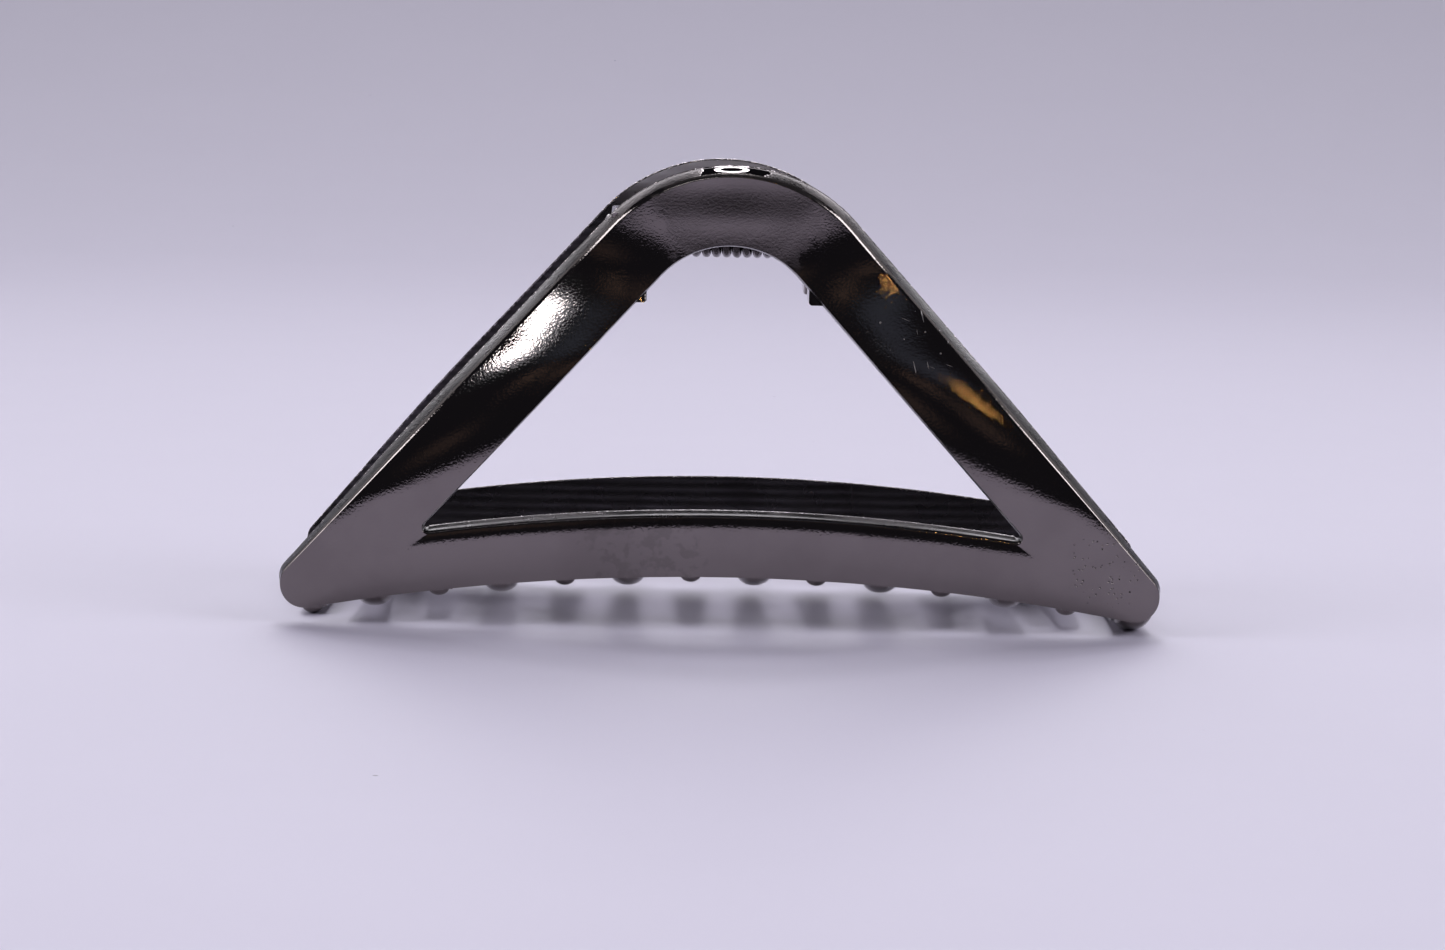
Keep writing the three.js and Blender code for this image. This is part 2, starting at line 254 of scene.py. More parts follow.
def apex_fold(x, z):
    """How far the plate sits back at the top of the apex, most at its middle."""
    share = max(0.0, 1 - (x / APEX_FOLD_REACH_X) ** 2)
    return APEX_FOLD * share * smoothstep(APEX_FOLD_BOTTOM_Z, APEX_FOLD_TOP_Z, z)


def plate_point(x, z, depth):
    """A point of the front jaw, straight behind its outer face at x and z.

    The depth is measured square to the face, so the plate keeps its thickness where it leans.
    """
    step = 0.05
    lean = (outer_face(z + step) - outer_face(z - step)) / (2 * step)
    length = math.hypot(1, lean)
    sideways = SIDEWAYS_LEAN * (z - LEAN_LEVEL_Z)
    return Vector((x + sideways, (depth + apex_fold(x, z)) * length - outer_face(z), z))


def half_outline(apex_radius, apex_z, corner_radius, floor_radius, floor_z):
    """Right half of a closed outline, clockwise from the top: apex arc, leg, corner, arched floor.

    Each station is (x, z, nx, nz), with the normal pointing out of the outline.
    """
    stations = []

    def add_arc(centre_x, centre_z, radius, start, end, steps):
        for i in range(steps + 1):
            angle = lerp(start, end, i / steps)
            nx, nz = math.sin(angle), math.cos(angle)
            stations.append((centre_x + radius * nx, centre_z + radius * nz, nx, nz))

    floor_centre_z = floor_z - floor_radius
    reach = floor_radius + corner_radius
    inset = apex_radius - corner_radius + math.cos(LEG_SLOPE) * (apex_z - floor_centre_z)
    floor_angle = LEG_SLOPE - math.acos(inset / reach)
    corner_x = reach * math.sin(floor_angle)
    corner_z = floor_centre_z + reach * math.cos(floor_angle)
    add_arc(0, apex_z, apex_radius, 0, LEG_SLOPE, APEX_STEPS)
    top_x, top_z, nx, nz = stations[-1]
    end_x = corner_x + corner_radius * nx
    end_z = corner_z + corner_radius * nz
    for i in range(1, LEG_STEPS):
        t = i / LEG_STEPS
        stations.append((lerp(top_x, end_x, t), lerp(top_z, end_z, t), nx, nz))
    add_arc(corner_x, corner_z, corner_radius, LEG_SLOPE, math.pi + floor_angle, CORNER_STEPS)
    for i in range(1, FLOOR_STEPS + 1):
        angle = floor_angle * (1 - i / FLOOR_STEPS)
        nx, nz = -math.sin(angle), -math.cos(angle)
        stations.append((-floor_radius * nx, floor_centre_z - floor_radius * nz, nx, nz))
    return stations


def full_outline(*dimensions):
    right = half_outline(*dimensions)
    left = [(-x, z, -nx, nz) for x, z, nx, nz in reversed(right[1:-1])]
    return right + left


def wall(flare, sill):
    """Offsets and depths down a cast edge, from just below the face to the back.

    Sill is 0 for an ordinary edge, 1 for the beaded one, and between them where they merge.
    """
    scale = PLATE_THICKNESS / WALL_THICKNESS
    return [
        (flare * lerp(plain[0], beaded[0], sill), scale * lerp(plain[1], beaded[1], sill))
        for plain, beaded in zip(PLAIN_WALL, BEADED_WALL)
    ]


def mesh_from_rings(bm, rings, closed, finishes=None):
    """Joins rings of points into a skin; open skins get a flat cap at each end.

    Finishes, where given, are the places of the materials on each side of the rings in turn.
    """
    rows = [[bm.verts.new(point * MM) for point in ring] for ring in rings]
    size = len(rows[0])
    count = len(rows) if closed else len(rows) - 1
    for i in range(count):
        a, b = rows[i], rows[(i + 1) % len(rows)]
        for j in range(size):
            k = (j + 1) % size
            face = bm.faces.new((a[j], b[j], b[k], a[k]))
            face.material_index = finishes[j] if finishes else 0
    if not closed:
        bm.faces.new(rows[0][::-1])
        bm.faces.new(rows[-1])


def new_object(name, bm):
    bmesh.ops.recalc_face_normals(bm, faces=bm.faces)
    mesh = bpy.data.meshes.new(name)
    bm.to_mesh(mesh)
    bm.free()
    obj = bpy.data.objects.new(name, mesh)
    bpy.context.collection.objects.link(obj)
    return obj


def shade(obj, angle):
    """Smooth shading, with a crease wherever two faces meet at more than the angle."""
    obj.data.shade_smooth()
    obj.data.set_sharp_from_angle(angle=math.radians(angle))


def band_crown(rim, hole):
    """How far the face stands out midway across the band, from a station of the rim to the window's."""
    width = math.hypot(rim[0] - hole[0], rim[1] - hole[1])
    middle_z = (rim[1] + hole[1]) / 2
    crown = CROWN_HEIGHT * min(1.0, width / CROWN_WIDTH) ** 2
    crown *= lerp(BAR_CROWN_SHARE, 1.0, smoothstep(BAR_TOP_Z, LEG_BOTTOM_Z, middle_z))
    crown *= lerp(1.0, APEX_CROWN_SHARE, smoothstep(0.85, 0.98, rim[3]))
    return crown


def plate_section(rim, hole):
    """Ring of points round the band between a station of the rim and one of the window.

    It runs down the rim's wall, along the back, up the window's wall and back over the face.
    How far a station's normal points up or down tells the edges apart.
    """
    rise = smoothstep(-0.3, 0.6, rim[3])
    sill = smoothstep(0.3, 1.0, -hole[3])
    roll = SILL_ROLL * smoothstep(0.984, 0.99, -hole[3])
    top_flare = lerp(END_EDGE_FLARE, TOP_EDGE_FLARE, smoothstep(0, TOP_EDGE_Z, rim[1]))
    rim_wall = wall(lerp(LOWER_EDGE_FLARE, top_flare, rise), 0.0)
    hole_wall = wall(lerp(WINDOW_EDGE_FLARE, SILL_FLARE, sill), sill)
    crown = band_crown(rim, hole)

    ring = [plate_point(rim[0] + rim[2] * out, rim[1] + rim[3] * out, depth) for out, depth in rim_wall]
    outermost, innermost = rim_wall[-1][0], -hole_wall[-1][0]
    for i in range(1, BACK_STEPS):
        t = i / BACK_STEPS
        x = lerp(rim[0] + rim[2] * outermost, hole[0] + hole[2] * innermost, t)
        z = lerp(rim[1] + rim[3] * outermost, hole[1] + hole[3] * innermost, t)
        ring.append(plate_point(x, z, PLATE_THICKNESS))
    for out, depth in reversed(hole_wall):
        sunk = depth + roll * (1 - depth / PLATE_THICKNESS)
        ring.append(plate_point(hole[0] - hole[2] * out, hole[1] - hole[3] * out, sunk))
    for i in range(FACE_STEPS + 1):
        s = (1 - math.cos(math.pi * i / FACE_STEPS)) / 2
        rolled = roll * max(0.0, 1 - s / SILL_ROLL_SHARE) ** 2
        height = crown * (1 - (2 * s - 1) ** 2) - rolled
        ring.append(plate_point(lerp(hole[0], rim[0], s), lerp(hole[1], rim[1], s), -height))
    return ring


def jaw_plate():
    rim = full_outline(APEX_RADIUS, APEX_CENTRE_Z, END_RADIUS, LOWER_EDGE_RADIUS, LOWER_EDGE_Z)
    window = full_outline(
        WINDOW_APEX_RADIUS, WINDOW_APEX_CENTRE_Z, WINDOW_CORNER_RADIUS, WINDOW_FLOOR_RADIUS, WINDOW_FLOOR_Z
    )
    wall_sides = len(PLAIN_WALL) - 1
    finishes = [FACE_FINISH] * BEVEL_SIDES + [EDGE_FINISH] * (wall_sides - BURR_SIDES - BEVEL_SIDES)
    finishes += [BURR_FINISH] * BURR_SIDES
    finishes += [BACK_FINISH] * BACK_STEPS
    finishes += [BURR_FINISH] * BURR_SIDES + [EDGE_FINISH] * (wall_sides - BURR_SIDES)
    finishes += [FACE_FINISH] * (FACE_STEPS + 2)
    bm = bmesh.new()
    mesh_from_rings(bm, [plate_section(*pair) for pair in zip(rim, window)], closed=True, finishes=finishes)
    return new_object("plate", bm)


# ---------------------------------------------------------------- teeth
def tooth_section(x, y, bottom, height, half, size):
    """Rounded section: half round below, squarer above, shrunk about its middle by size."""
    middle = bottom + height * TOOTH_MIDDLE_SHARE
    points = []
    for i in range(TOOTH_SIDES):
        angle = 2 * math.pi * i / TOOTH_SIDES
        c, s = math.cos(angle), math.sin(angle)
        power = TOOTH_SQUARENESS if s >= 0 else 1.0
        reach = height * (1 - TOOTH_MIDDLE_SHARE if s > 0 else TOOTH_MIDDLE_SHARE)
        dx = half * math.copysign(abs(c) ** power, c)
        dz = reach * math.copysign(abs(s) ** power, s)
        points.append(Vector((x + dx * size, y, middle + dz * size)))
    return points


def tooth_line(x):
    """Stations along a tooth, as (y, bottom, height, half width, size).

    It leaves the bar's back with a fillet, drops to its heel, and ends in a dome. The stations
    are bunched at both ends.
    """
    edge_z = LOWER_EDGE_Z - sagitta(LOWER_EDGE_RADIUS, abs(x))
    root_y = PLATE_THICKNESS / 2 - outer_face(edge_z + 1)
    back_y = root_y + PLATE_THICKNESS / 2
    dome = TOOTH_TIP_WIDTH * TIP_DOME_SHARE
    stations = []
    for i in range(TOOTH_STEPS + 1):
        y = lerp(root_y, TOOTH_TIP_Y, math.sin(math.pi / 2 * (i / TOOTH_STEPS) ** TOOTH_BUNCHING))
        along = (y - root_y) / (TOOTH_TIP_Y - root_y)
        heel = min(max((y - root_y) / (TOOTH_HEEL_Y - root_y), 0.0), 1.0)
        rise = max(0.0, (y - TOOTH_RISE_Y) / (TOOTH_TIP_Y - TOOTH_RISE_Y))
        drop = TOOTH_DROP * math.sqrt(1 - (1 - heel) ** 2)
        bottom = edge_z + TOOTH_ROOT_EMBED * (1 - heel) - drop + TOOTH_TIP_RISE * rise**2
        fillet = TOOTH_FILLET * math.exp(-max(0.0, y - back_y) / TOOTH_FILLET_FADE)
        height = lerp(TOOTH_ROOT_HEIGHT, TOOTH_TIP_HEIGHT, math.sqrt(along)) + fillet
        half = lerp(TOOTH_ROOT_WIDTH, TOOTH_TIP_WIDTH, along) / 2 + fillet * TOOTH_FILLET_SPREAD
        inside_dome = min((TOOTH_TIP_Y - y) / dome, 1.0)
        size = math.sqrt(max(0.0, 1 - (1 - inside_dome) ** 2))
        stations.append((y, bottom, height, half, max(size, TIP_SMALLEST_SIZE)))
    return stations


def tooth(x):
    bm = bmesh.new()
    mesh_from_rings(bm, [tooth_section(x, *station) for station in tooth_line(x)], closed=False)
    return new_object("tooth", bm)


def tooth_flash(x):
    """Thin step left by the mould's parting line along one side of a tooth."""
    rings = []
    for y, bottom, height, half, size in tooth_line(x)[1:-FLASH_END_STATIONS]:
        low = bottom + height * FLASH_LEVEL_SHARE
        outside = x - half - FLASH_WIDTH * size
        inside = x - half * FLASH_BURIED_SHARE
        rings.append([
            Vector((outside, y, low)), Vector((inside, y, low)),
            Vector((inside, y, low + FLASH_HEIGHT)), Vector((outside, y, low + FLASH_HEIGHT)),
        ])
    bm = bmesh.new()
    mesh_from_rings(bm, rings, closed=False)
    return new_object("flash", bm)


# ---------------------------------------------------------------- hinge lugs
def slab(outline, from_x, to_x):
    """Side-view outline of (y, z) points given a width along X, with its rims rounded off."""
    bm = bmesh.new()
    near = [bm.verts.new(Vector((from_x, y, z)) * MM) for y, z in outline]
    far = [bm.verts.new(Vector((to_x, y, z)) * MM) for y, z in outline]
    bm.faces.new(near)
    bm.faces.new(far[::-1])
    for i in range(len(outline)):
        k = (i + 1) % len(outline)
        bm.faces.new((near[i], near[k], far[k], far[i]))
    rims = [e for e in bm.edges if abs(e.verts[0].co.x - e.verts[1].co.x) < 1e-9]
    bmesh.ops.bevel(bm, geom=rims, offset=LUG_BEVEL * MM, segments=BEVEL_CUTS, profile=0.5, affect="EDGES")
    return new_object("slab", bm)


def lug_back():
    """Points up the inside of the plate, where a lug is rooted."""
    heights = [lerp(LUG_ROOT_BOTTOM_Z, LUG_ROOT_TOP_Z, i / LUG_STEPS) for i in range(LUG_STEPS + 1)]
    return [(PLATE_THICKNESS / 2 - outer_face(z), z) for z in heights]


def lug_front(shin_rise):
    """The two corners down the free side of a lug, below the pin."""
    return [(-LUG_ROOT_REACH, LUG_ROOT_BOTTOM_Z + shin_rise), (LUG_ROOT_FOOT_Y, LUG_ROOT_BOTTOM_Z)]


def lug_root_outline():
    return lug_back() + [(-LUG_ROOT_REACH, LUG_ROOT_TOP_Z)] + lug_front(LUG_SHIN_RISE)


def knuckle_outline():
    """The root's outline with a rounded end about the pin."""
    points = lug_back()
    for i in range(KNUCKLE_STEPS + 1):
        angle = lerp(KNUCKLE_TOP_ANGLE, KNUCKLE_FOOT_ANGLE, i / KNUCKLE_STEPS)
        points.append((KNUCKLE_RADIUS * math.cos(angle), PIN_Z + KNUCKLE_RADIUS * math.sin(angle)))
    return points + lug_front(KNUCKLE_SHIN_RISE)


def roller(radius, from_x, to_x):
    """Cylinder along the pin's axis."""
    middle = Matrix.Translation(Vector(((from_x + to_x) / 2, 0, PIN_Z)) * MM)
    bm = bmesh.new()
    bmesh.ops.create_cone(
        bm, cap_ends=True, segments=ROUND_SIDES, radius1=radius * MM, radius2=radius * MM,
        depth=(to_x - from_x) * MM, matrix=middle @ Matrix.Rotation(math.pi / 2, 4, "Y"),
    )
    return new_object("roller", bm)


def lugs():
    """Both lugs of a jaw, and the holes to cut in them: right inner lane, left outer lane."""
    outer_end = INNER_LANE_X + KNUCKLE_GAP + 2 * KNUCKLE_WIDTH
    right = (INNER_LANE_X, outer_end, INNER_LANE_X)
    left = (-outer_end, -INNER_LANE_X, -outer_end)
    solids, holes = [], []
    for from_x, to_x, lane in (right, left):
        solids.append(slab(lug_root_outline(), from_x, to_x))
        solids.append(slab(knuckle_outline(), lane, lane + KNUCKLE_WIDTH))
        hole_end = lane + KNUCKLE_WIDTH + BORE_OVERCUT
        holes.append(roller(PIN_RADIUS + PIN_CLEARANCE, lane - BORE_OVERCUT, hole_end))
    return solids, holes


# ---------------------------------------------------------------- joining a jaw
def combine(obj, others, operation):
    """Joins the others to obj, or cuts them from it, and removes them."""
    group = bpy.data.collections.new("cutters")
    bpy.context.scene.collection.children.link(group)
    for other in others:
        group.objects.link(other)
    modifier = obj.modifiers.new("combine", "BOOLEAN")
    modifier.operation = operation
    modifier.operand_type = "COLLECTION"
    modifier.collection = group
    modifier.solver = "EXACT"
    graph = bpy.context.evaluated_depsgraph_get()
    mesh = bpy.data.meshes.new_from_object(obj.evaluated_get(graph))
    obj.modifiers.clear()
    obj.data = mesh
    for other in others:
        bpy.data.objects.remove(other)
    bpy.data.collections.remove(group)


def build_jaws(materials):
    jaw = jaw_plate()
    for material in materials:
        jaw.data.materials.append(material)
    tooth_places = [TOOTH_OFFSET + TOOTH_PITCH * (k - (TOOTH_COUNT - 1) / 2) for k in range(TOOTH_COUNT)]
    solids, holes = lugs()
    teeth = [tooth(x) for x in tooth_places]
    flashes = [tooth_flash(x) for x in tooth_places]
    combine(jaw, teeth + flashes + solids, "UNION")
    combine(jaw, holes, "DIFFERENCE")
    jaw.name = "front_jaw_casting"
    shade(jaw, CASTING_CREASE)
    rear = bpy.data.objects.new("rear_jaw_casting", jaw.data.copy())
    rear.data.transform(Matrix.Rotation(math.pi, 4, "Z"))
    bpy.context.collection.objects.link(rear)
    return jaw, rear


# ---------------------------------------------------------------- pin and spring
def round_ring(centre, across, up, radius, sides):
    """Circle of points about a centre, in the plane of two unit vectors."""
    ring = []
    for j in range(sides):
        angle = 2 * math.pi * j / sides
        ring.append(centre + (across * math.cos(angle) + up * math.sin(angle)) * radius)
    return ring


def round_piece(name, rings, material):
    bm = bmesh.new()
    mesh_from_rings(bm, rings, closed=False)
    piece = new_object(name, bm)
    piece.data.materials.append(material)
    shade(piece, ROUND_CREASE)
    return piece


def build_pin(material):
    """Plain pin with a domed, peened head at each end."""
    head_x = INNER_LANE_X + 2 * KNUCKLE_WIDTH + 2 * KNUCKLE_GAP
    half = []
    for i in range(PIN_HEAD_STEPS + 1):
        angle = math.pi / 2 * i / PIN_HEAD_STEPS
        radius = PIN_HEAD_RADIUS * max(math.sin(angle), PIN_HEAD_TIP_SHARE)
        half.append((head_x + PIN_HEAD_LENGTH * math.cos(angle), radius))
    half += [(head_x, PIN_HEAD_RADIUS * PIN_HEAD_ROOT_SHARE), (head_x, PIN_RADIUS)]
    profile = [(-x, radius) for x, radius in half] + half[::-1]
    across, up = Vector((0, 1, 0)), Vector((0, 0, 1))
    rings = [round_ring(Vector((x, 0, PIN_Z)), across, up, radius, ROUND_SIDES) for x, radius in profile]
    return round_piece("hinge_pin_round", rings, material)


def spring_centre_line():
    """Points and tangents down the wire: a leg, the close coils, and the other leg."""
    turns = WHOLE_TURNS - 0.5 - SPRING_LEG_LEAN / math.pi
    start = math.pi + SPRING_LEG_LEAN

    def coil(turn):
        angle = start + 2 * math.pi * turn
        x = (turn - turns / 2) * COIL_PITCH
        point = Vector((x, COIL_RADIUS * math.cos(angle), PIN_Z + COIL_RADIUS * math.sin(angle)))
        return point, Vector((0, -math.sin(angle), math.cos(angle)))

    line = []
    first, along = coil(0)
    for i in range(WIRE_LEG_STEPS):
        line.append((first - along * SPRING_LEG_LENGTH * (1 - i / WIRE_LEG_STEPS), along))
    steps = round(turns * WIRE_TURN_STEPS)
    for i in range(steps + 1):
        line.append(coil(turns * i / steps))
    last, along = coil(turns)
    for i in range(1, WIRE_LEG_STEPS + 1):
        line.append((last + along * SPRING_LEG_LENGTH * i / WIRE_LEG_STEPS, along))
    return line


def build_spring(material):
    line = spring_centre_line()
    across = Vector((1, 0, 0))
    rings = []
    for i, (point, along) in enumerate(line):
        up = along.cross(across).normalized()
        size = WIRE_END_SHARE if i in (0, len(line) - 1) else 1.0
        rings.append(round_ring(point, across, up, WIRE_RADIUS * size, WIRE_SIDES))
    return round_piece("torsion_spring_wire", rings, material)


# ---------------------------------------------------------------- materials
class Nodes:
    """Short way to write a material's node tree."""

    def __init__(self, name):
        self.material = bpy.data.materials.new(name)
        self.material.use_nodes = True
        self.tree = self.material.node_tree
        self.shader = self.tree.nodes["Principled BSDF"]

    def add(self, kind, values=None, **settings):
        node = self.tree.nodes.new(kind)
        for key, value in settings.items():
            setattr(node, key, value)
        for key, value in (values or {}).items():
            if isinstance(value, bpy.types.NodeSocket):
                self.tree.links.new(value, node.inputs[key])
            else:
                node.inputs[key].default_value = value
        return node

    def link(self, output, name):
        self.tree.links.new(output, self.shader.inputs[name])

    def place(self):
        return self.add("ShaderNodeTexCoord").outputs["Object"]

    def along(self, place, axis):
        return self.add("ShaderNodeSeparateXYZ", {"Vector": place}).outputs[axis]

    def noise(self, place, scale, detail=3.0):
        values = {"Vector": place, "Scale": scale, "Detail": detail, "Roughness": 0.55}
        return self.add("ShaderNodeTexNoise", values).outputs["Fac"]

    def ramp(self, value, low, high, to_low=0.0, to_high=1.0):
        values = {"Value": value, "From Min": low, "From Max": high, "To Min": to_low, "To Max": to_high}
        return self.add("ShaderNodeMapRange", values, interpolation_type="SMOOTHSTEP").outputs["Result"]

    def maths(self, operation, *values):
        return self.add("ShaderNodeMath", dict(enumerate(values)), operation=operation).outputs[0]

    def times(self, a, b):
        return self.maths("MULTIPLY", a, b)

    def plus(self, a, b):
        return self.maths("ADD", a, b)

    def bump(self, height, distance, under=None):
        """Relief of a height in mm, over another relief where one is given."""
        values = {"Height": height, "Strength": 1.0, "Distance": distance * MM}
        if under:
            values["Normal"] = under
        return self.add("ShaderNodeBump", values).outputs["Normal"]

    def streaks(self, place, lean, share):
        """Scattered straight scratches, a few mm long, leaning by an angle in the face's plane."""
        scale = (5200.0, 700.0, 240.0)
        turned = self.add("ShaderNodeMapping", {"Vector": place, "Rotation": (0, lean, 0)}).outputs["Vector"]
        stretched = self.add("ShaderNodeMapping", {"Vector": turned, "Scale": scale}).outputs["Vector"]
        return self.ramp(self.noise(stretched, 1.0, 0.0), 1 - share, 1.04 - share)

    def specks(self, place, scale, size):
        """Round dots, one in each cell of a scatter."""
        cells = self.add("ShaderNodeTexVoronoi", {"Vector": place, "Scale": scale})
        return self.ramp(cells.outputs["Distance"], size * 0.7, size, 1.0, 0.0)

    def patch(self, place, centre, radius):
        """One near a point given in mm and nothing beyond the radius, with a ragged edge."""
        middle = tuple(value * MM for value in centre)
        reach = self.add("ShaderNodeVectorMath", {0: place, 1: middle}, operation="DISTANCE").outputs["Value"]
        ragged = self.times(self.maths("SUBTRACT", self.noise(place, 500.0), 0.5), radius * MM)
        return self.ramp(self.plus(reach, ragged), radius * MM * 0.85, radius * MM, 1.0, 0.0)

    def mix(self, share, a, b):
        """Colour from a to b. A colour given as numbers is (red, green, blue)."""
        ends = {"Factor": share}
        for name, end in (("A", a), ("B", b)):
            ends[name] = (*end, 1) if isinstance(end, tuple) else end
        return self.add("ShaderNodeMix", ends, data_type="RGBA").outputs["Result"]


def metal(name):
    """A metal's nodes, and the place on the object that its textures read."""
    n = Nodes(name)
    n.shader.inputs["Metallic"].default_value = 1.0
    return n, n.place()


def plated_face():
    """Mirror-bright black nickel over a polished casting, with a few scratches and smudges."""
    n, place = metal("black_nickel")
    cloud = n.noise(place, 110.0)
    peel = n.noise(place, 900.0, 2.0)
    grain = n.noise(place, 4200.0, 2.0)

    # Wear, each kind in its own area: scratches, pits, a stain and thumb marks.
    scratches = n.maths("MAXIMUM", n.streaks(place, 0.2, 0.21), n.streaks(place, 1.2, 0.21))
    scratches = n.maths("MAXIMUM", scratches, n.specks(place, 800.0, 0.10))
    scratches = n.times(scratches, n.patch(place, (19.5, -11.5, 29.5), 4.5))
    pits = n.times(n.specks(place, 2100.0, 0.24), n.ramp(peel, 0.45, 0.55))
    pits = n.times(pits, n.patch(place, (38.5, -16.0, 7.0), 4.0))
    stain = n.times(n.ramp(peel, 0.45, 0.6), n.patch(place, (-8.0, -16.0, 8.5), 6.0))
    thumbed = n.patch(place, (1.0, -10.0, 43.0), 9.0)

    tint = n.mix(n.ramp(cloud, 0.35, 0.7), (0.256, 0.229, 0.220), (0.226, 0.201, 0.194))
    tint = n.mix(n.times(stain, 0.25), tint, (0.10, 0.095, 0.085))
    tint = n.mix(n.times(pits, 0.7), tint, (0.06, 0.052, 0.055))
    n.link(n.mix(n.times(scratches, 0.4), tint, (0.75, 0.72, 0.74)), "Base Color")
    rough = n.plus(n.ramp(cloud, 0.3, 0.7, 0.05, 0.09), n.times(thumbed, 0.17))
    n.link(n.plus(rough, n.times(scratches, 0.35)), "Roughness")
    relief = n.maths("SUBTRACT", grain, n.times(pits, 3.0))
    n.link(n.bump(relief, 0.013, n.bump(peel, 0.003)), "Normal")
    return n.material


def plated_edge():
    """The same plating over the matt, gritty sides of the casting, with painted sheen that makes their colour
    paler round the apex.

    Only the middle of the front apex, rubbed by the thumb, is smooth.
    """
    n, place = metal("black_nickel_edge")
    cloud = n.noise(place, 400.0)
    grit = n.noise(place, 3600.0)
    matt = n.maths("SUBTRACT", 1.0, n.patch(place, (0.5, -9.0, 45.8), 3.3))
    # Painted light and shade: the sides are coloured darker down the legs and paler towards the apex,
    # standing in for how much lamp light each part catches.
    apex = n.ramp(n.along(place, "Z"), 36 * MM, 42 * MM)
    apex_sheen_tint = n.mix(cloud, (0.13, 0.117, 0.12), (0.18, 0.161, 0.165))
    n.link(n.mix(apex, (0.050, 0.045, 0.048), apex_sheen_tint), "Base Color")
    n.link(n.times(matt, n.ramp(cloud, 0.3, 0.7, 0.24, 0.38)), "Roughness")
    n.link(n.bump(n.times(grit, matt), 0.04), "Normal")
    return n.material


def plated_burr():
    """Plating over the ragged lip left by the mould along the back of each edge, which glitters."""
    n, place = metal("black_nickel_burr")
    grit = n.noise(place, 2600.0)
    n.link(n.mix(n.ramp(grit, 0.4, 0.62), (0.08, 0.07, 0.075), (0.62, 0.57, 0.58)), "Base Color")
    n.link(n.ramp(grit, 0.3, 0.7, 0.35, 0.18), "Roughness")
    n.link(n.bump(grit, 0.15), "Normal")
    return n.material


def plated_back():
    """The inside of the casting: plated but not polished, with faint lines, and painted sheen that makes it
    paler at its top.
    """
    n, place = metal("black_nickel_back")
    cloud = n.noise(place, 200.0)
    height = n.along(place, "Z")
    lines = n.maths("SINE", n.plus(n.times(height, 6500.0), n.times(cloud, 3.0)))
    # Painted sheen: the colour turns pale near the top, standing in for overhead light caught on the inner
    # lip.
    lip = n.ramp(height, 40.5 * MM, 44.5 * MM)
    tint = n.mix(n.ramp(lines, -1.0, 1.0), (0.09, 0.085, 0.09), (0.12, 0.113, 0.12))
    n.link(n.mix(lip, tint, (0.55, 0.52, 0.56)), "Base Color")
    rough = n.ramp(cloud, 0.3, 0.7, 0.24, 0.34)
    n.link(n.maths("MAXIMUM", rough, n.times(lip, 0.5)), "Roughness")
    n.link(n.bump(lines, 0.008), "Normal")
    return n.material


def pin_metal():
    n, place = metal("pin_steel")
    cloud = n.noise(place, 900.0)
    n.link(n.mix(cloud, (0.34, 0.32, 0.32), (0.22, 0.20, 0.20)), "Base Color")
    n.link(n.ramp(cloud, 0.3, 0.7, 0.22, 0.4), "Roughness")
    return n.material


def spring_metal():
    n, place = metal("spring_wire")
    cloud = n.noise(place, 700.0)
    n.link(n.mix(cloud, (0.16, 0.145, 0.15), (0.10, 0.09, 0.095)), "Base Color")
    n.link(n.ramp(cloud, 0.3, 0.7, 0.16, 0.32), "Roughness")
    return n.material


def sweep_card():
    """Pale card with a few specks of dust, and painted shade that darkens it towards the backdrop."""
    n = Nodes("sweep_card")
    place = n.place()
    cells = n.add("ShaderNodeTexVoronoi", {"Vector": place, "Scale": 70.0}).outputs["Distance"]
    dust = n.times(n.ramp(cells, 0.012, 0.022, 1.0, 0.0), n.ramp(n.noise(place, 37.0, 1.0), 0.56, 0.6))
    card = n.mix(n.noise(place, 60.0), (0.672, 0.636, 0.782), (0.686, 0.650, 0.796))
    card = n.mix(dust, card, (0.35, 0.33, 0.42))
    # Painted shade: the card's colour is mixed towards black further back, standing in for the light falling
    # off towards the backdrop.
    painted_shade_ramp = {"Value": n.along(place, "Y"), "From Min": -0.13, "From Max": 0.75, "To Max": 0.61}
    painted_shade_share = n.add("ShaderNodeMapRange", painted_shade_ramp).outputs["Result"]
    n.link(n.mix(painted_shade_share, card, (0, 0, 0)), "Base Color")
    n.shader.inputs["Roughness"].default_value = 0.55
    n.shader.inputs["Specular IOR Level"].default_value = 0.3
    return n.material


# ---------------------------------------------------------------- stage, lights, camera
def build_stage():
    """Pale sweep, in metres: a floor that curves up into a backdrop."""
    front, back, height, bend, width = -0.9, 0.95, 1.1, 0.5, 1.8
    line = [(front, 0.0), (back - bend, 0.0)]
    for i in range(1, SWEEP_STEPS + 1):
        angle = math.pi / 2 * i / SWEEP_STEPS
        line.append((back - bend + bend * math.sin(angle), bend - bend * math.cos(angle)))
    line.append((back, height))
    bm = bmesh.new()
    rows = [[bm.verts.new((x, y, z)) for y, z in line] for x in (-width, width)]
    for i in range(len(line) - 1):
        bm.faces.new((rows[0][i], rows[1][i], rows[1][i + 1], rows[0][i + 1]))
    sweep = new_object("sweep", bm)
    sweep.data.shade_smooth()
    sweep.data.materials.append(sweep_card())


# Where most lights point, in metres, and the colours of the lamps and of the lit walls.
CLIP_CENTRE = (0, 0, 0.02)
LAMP_WHITE = (0.97, 0.96, 1.0)
WALL_WHITE = (0.96, 0.95, 1.0)


def area_light(name, place, target, size, power, colour):
    data = bpy.data.lights.new(name, "AREA")
    data.shape = "RECTANGLE"
    data.size, data.size_y = size
    data.energy = power
    data.color = colour
    light = bpy.data.objects.new(name, data)
    light.location = place
    aim = Vector(target) - Vector(place)
    light.rotation_euler = aim.to_track_quat("-Z", "Y").to_euler()
    bpy.context.collection.objects.link(light)
    return light


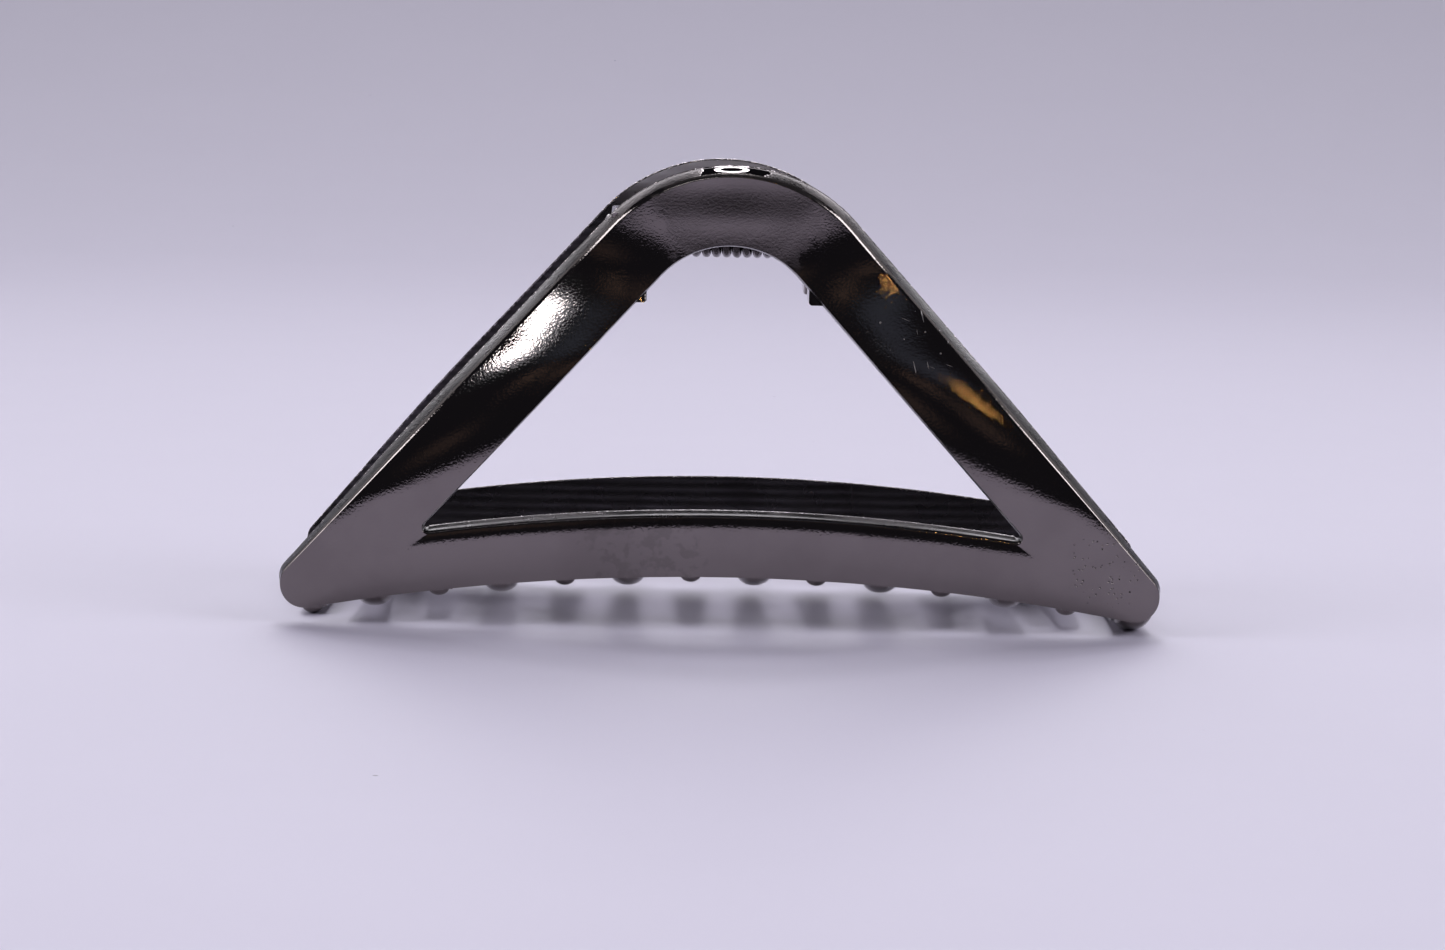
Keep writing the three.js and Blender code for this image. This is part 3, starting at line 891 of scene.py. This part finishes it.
def room_light(name, lateral, elevation, distance, size, power, colour):
    """Light in front of the clip, placed by its angles from straight ahead of it, in degrees."""
    across, up = math.radians(lateral), math.radians(elevation)
    centre = Vector((0, -0.012, 0.03))
    offset = Vector((math.sin(across), -math.cos(across) * math.cos(up), math.cos(across) * math.sin(up)))
    light = area_light(name, centre + offset * distance, centre, size, power, colour)
    light.data.shape = "ELLIPSE"


def ring_lamp(centre, radii, count, power):
    """Oval lamp seen as a ring: small discs of light about a centre, all facing the clip."""
    centre = Vector(centre)
    aim = (Vector(CLIP_CENTRE) - centre).normalized()
    across = Vector((1, 0, 0)) * radii[0]
    up = Vector((1, 0, 0)).cross(aim) * radii[1]
    for i in range(count):
        angle = 2 * math.pi * i / count
        place = centre + across * math.cos(angle) + up * math.sin(angle)
        light = area_light("ring_lamp", place, place + aim, (0.022, 0.022), power / count, LAMP_WHITE)
        light.data.shape = "DISK"


def build_lights():
    """The photographer's lights and the dim room in front, as the clip mirrors them; in metres.

    The ring lamp is the highlight on the apex's edge. The back panel, the side fills and the side
    walls light the sweep. The softbox is the highlight on the left leg, and the lights after it
    are the fainter patches in the dark faces.
    """
    ring_lamp((0.005, 0.29, 0.53), (0.046, 0.080), 18, 0.7)
    area_light("back_panel", (0, 0.75, 0.50), CLIP_CENTRE, (1.15, 0.5), 6.1, LAMP_WHITE)
    for side in (-1, 1):
        area_light("side_fill", (0.75 * side, -0.20, 0.48), (0, -0.1, 0), (0.5, 0.4), 3.0, WALL_WHITE)
        area_light("side_wall", (1.0 * side, 0.5, 0.55), CLIP_CENTRE, (1.0, 0.8), 0.9, WALL_WHITE)
    room_light("softbox", -10, 44, 0.6, (0.065, 0.042), 0.16, (1.0, 0.98, 1.0))
    room_light("softbox_spill", -9, 41.5, 0.62, (0.13, 0.08), 0.03, (0.85, 0.90, 1.0))
    room_light("window_glow", 7, 37, 0.62, (0.17, 0.11), 0.0040, (0.62, 0.74, 1.0))
    room_light("lamp", 14, 32, 0.6, (0.007, 0.007), 0.013, (1.0, 0.58, 0.18))
    for lateral, elevation, size in ((1, 26, 0.08), (-8, 13, 0.12), (10, 22, 0.10)):
        room_light("warm_wall", lateral, elevation, 0.7, (size, size * 0.8), 0.0015, (1.0, 0.66, 0.48))
    world = bpy.data.worlds.new("room")
    world.use_nodes = True
    world.node_tree.nodes["Background"].inputs["Color"].default_value = (0.020, 0.019, 0.024, 1)
    bpy.context.scene.world = world


def build_camera():
    data = bpy.data.cameras.new("camera")
    data.sensor_width = 36.0
    data.lens = 99.8
    data.clip_start = 0.01
    camera = bpy.data.objects.new("camera", data)
    yaw, pitch, roll = math.radians(1.08), math.radians(6.84), math.radians(1.20)
    heading = Matrix.Rotation(-yaw, 4, "Z") @ Matrix.Rotation(math.pi / 2 - pitch, 4, "X")
    level = Matrix.Rotation(roll, 4, "Z")
    camera.matrix_world = Matrix.Translation((-0.00777, -0.4133, 0.0634)) @ heading @ level
    bpy.context.collection.objects.link(camera)
    bpy.context.scene.camera = camera
    bpy.context.scene.view_settings.view_transform = "Standard"


# ---------------------------------------------------------------- assembly
def finish_piece(piece, body, node):
    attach(piece, body)
    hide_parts(node)


build_camera()
build_stage()
build_lights()

front_jaw, rear_jaw = build_jaws((plated_face(), plated_edge(), plated_burr(), plated_back()))
finish_piece(front_jaw, "front", "front_jaw")
finish_piece(rear_jaw, "rear", "rear_jaw")
finish_piece(build_pin(pin_metal()), "front", "hinge_pin")

spring = build_spring(spring_metal())
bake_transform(spring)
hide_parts("torsion_spring")
